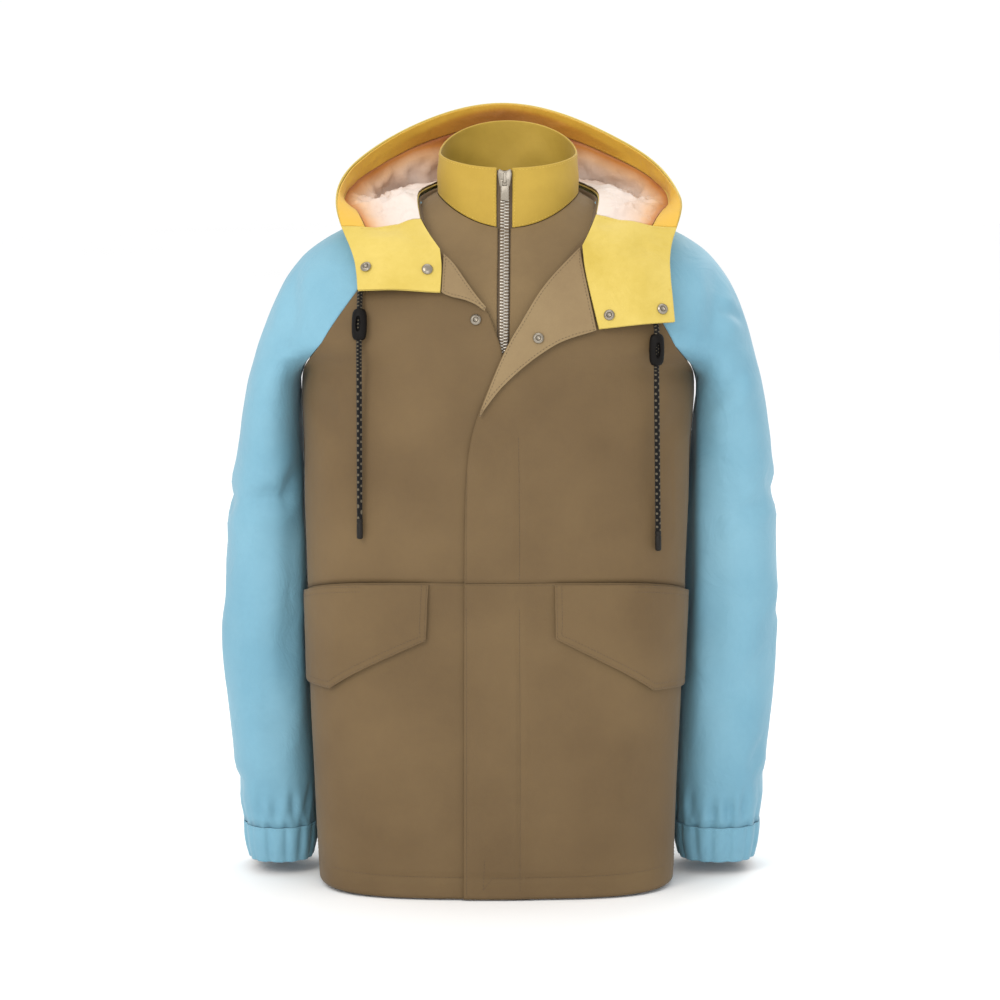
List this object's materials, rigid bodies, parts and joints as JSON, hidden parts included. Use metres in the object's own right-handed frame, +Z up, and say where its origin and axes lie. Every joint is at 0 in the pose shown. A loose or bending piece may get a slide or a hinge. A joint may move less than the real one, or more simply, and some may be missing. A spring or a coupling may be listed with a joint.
{
  "type": "parka",
  "caption": "Worn-shape hooded parka with raglan sleeves, stand collar and zip, open lapels, hood laid back, pocket flaps and hanging hood drawcords.",
  "frame": {"origin": "between the wearer's shoulders, in the middle of the neck at the height of the neck seam's side points, where the wearer carries the garment", "axes": "+Z up, -Y the wearer's front, +X the wearer's left"},
  "size_m": [0.6249, 0.3188, 0.863],
  "materials": {
    "shell_cloth": "matt woven nylon",
    "facing_cloth": "matt woven nylon, lighter side",
    "sleeve_cloth": "soft sheen woven nylon",
    "hood_cloth": "soft sheen woven nylon",
    "hood_lining_cloth": "plain woven lining",
    "collar_cloth": "soft sheen woven nylon",
    "zip_tape": "woven tape",
    "zip_metal": "satin",
    "snap_metal": "enamelled cap",
    "eyelet_metal": "satin",
    "stopper_plastic": "moulded",
    "cord_tip_plastic": "moulded",
    "cord_braid": "braided"
  },
  "bodies": {
    "garment": {"front_right_upper": "shell_cloth", "front_right_lower": "shell_cloth", "front_left_upper": "shell_cloth", "front_left_lower": "shell_cloth", "back": "shell_cloth", "sleeve_right": "sleeve_cloth", "cuff_right": "sleeve_cloth", "sleeve_left": "sleeve_cloth", "cuff_left": "sleeve_cloth", "collar": "collar_cloth", "inner_front_right": "shell_cloth", "inner_front_left": "shell_cloth", "back_neck_facing": "shell_cloth", "zip_tape_right": "zip_tape", "zip_tape_left": "zip_tape", "zip_chain": "zip_metal", "zip_slider": "zip_metal", "zip_slider_bridge": "zip_metal", "hood_right": "hood_cloth", "chin_facing_right": "hood_cloth", "hood_left": "hood_cloth", "chin_facing_left": "hood_cloth", "hood_lining": "hood_lining_cloth", "hood_rim_facing": "hood_cloth", "lapel_right": "facing_cloth", "lapel_left": "facing_cloth", "pocket_flap_right": "shell_cloth", "pocket_flap_left": "shell_cloth", "snap_chin_right_outer": "snap_metal", "snap_chin_right_inner": "snap_metal", "snap_chin_left_inner": "snap_metal", "snap_chin_left_outer": "snap_metal", "snap_lapel_left": "snap_metal", "snap_front_right": "snap_metal", "cord_right": "cord_braid", "cord_tip_right": "cord_tip_plastic", "cord_stopper_right": "stopper_plastic", "eyelet_right": "eyelet_metal", "cord_left": "cord_braid", "cord_tip_left": "cord_tip_plastic", "cord_stopper_left": "stopper_plastic", "eyelet_left": "eyelet_metal"},
    "pull_tab": {"zip_pull_tab": "zip_metal"}
  },
  "joints": [
    {"name": "pull_tab_hinge", "type": "hinge", "parent": "garment", "child": "pull_tab", "pos_m": [0.0051, -0.0797, 0.0216], "axis": [-1, 0, 0], "range_deg": [0, 130]}
  ]
}
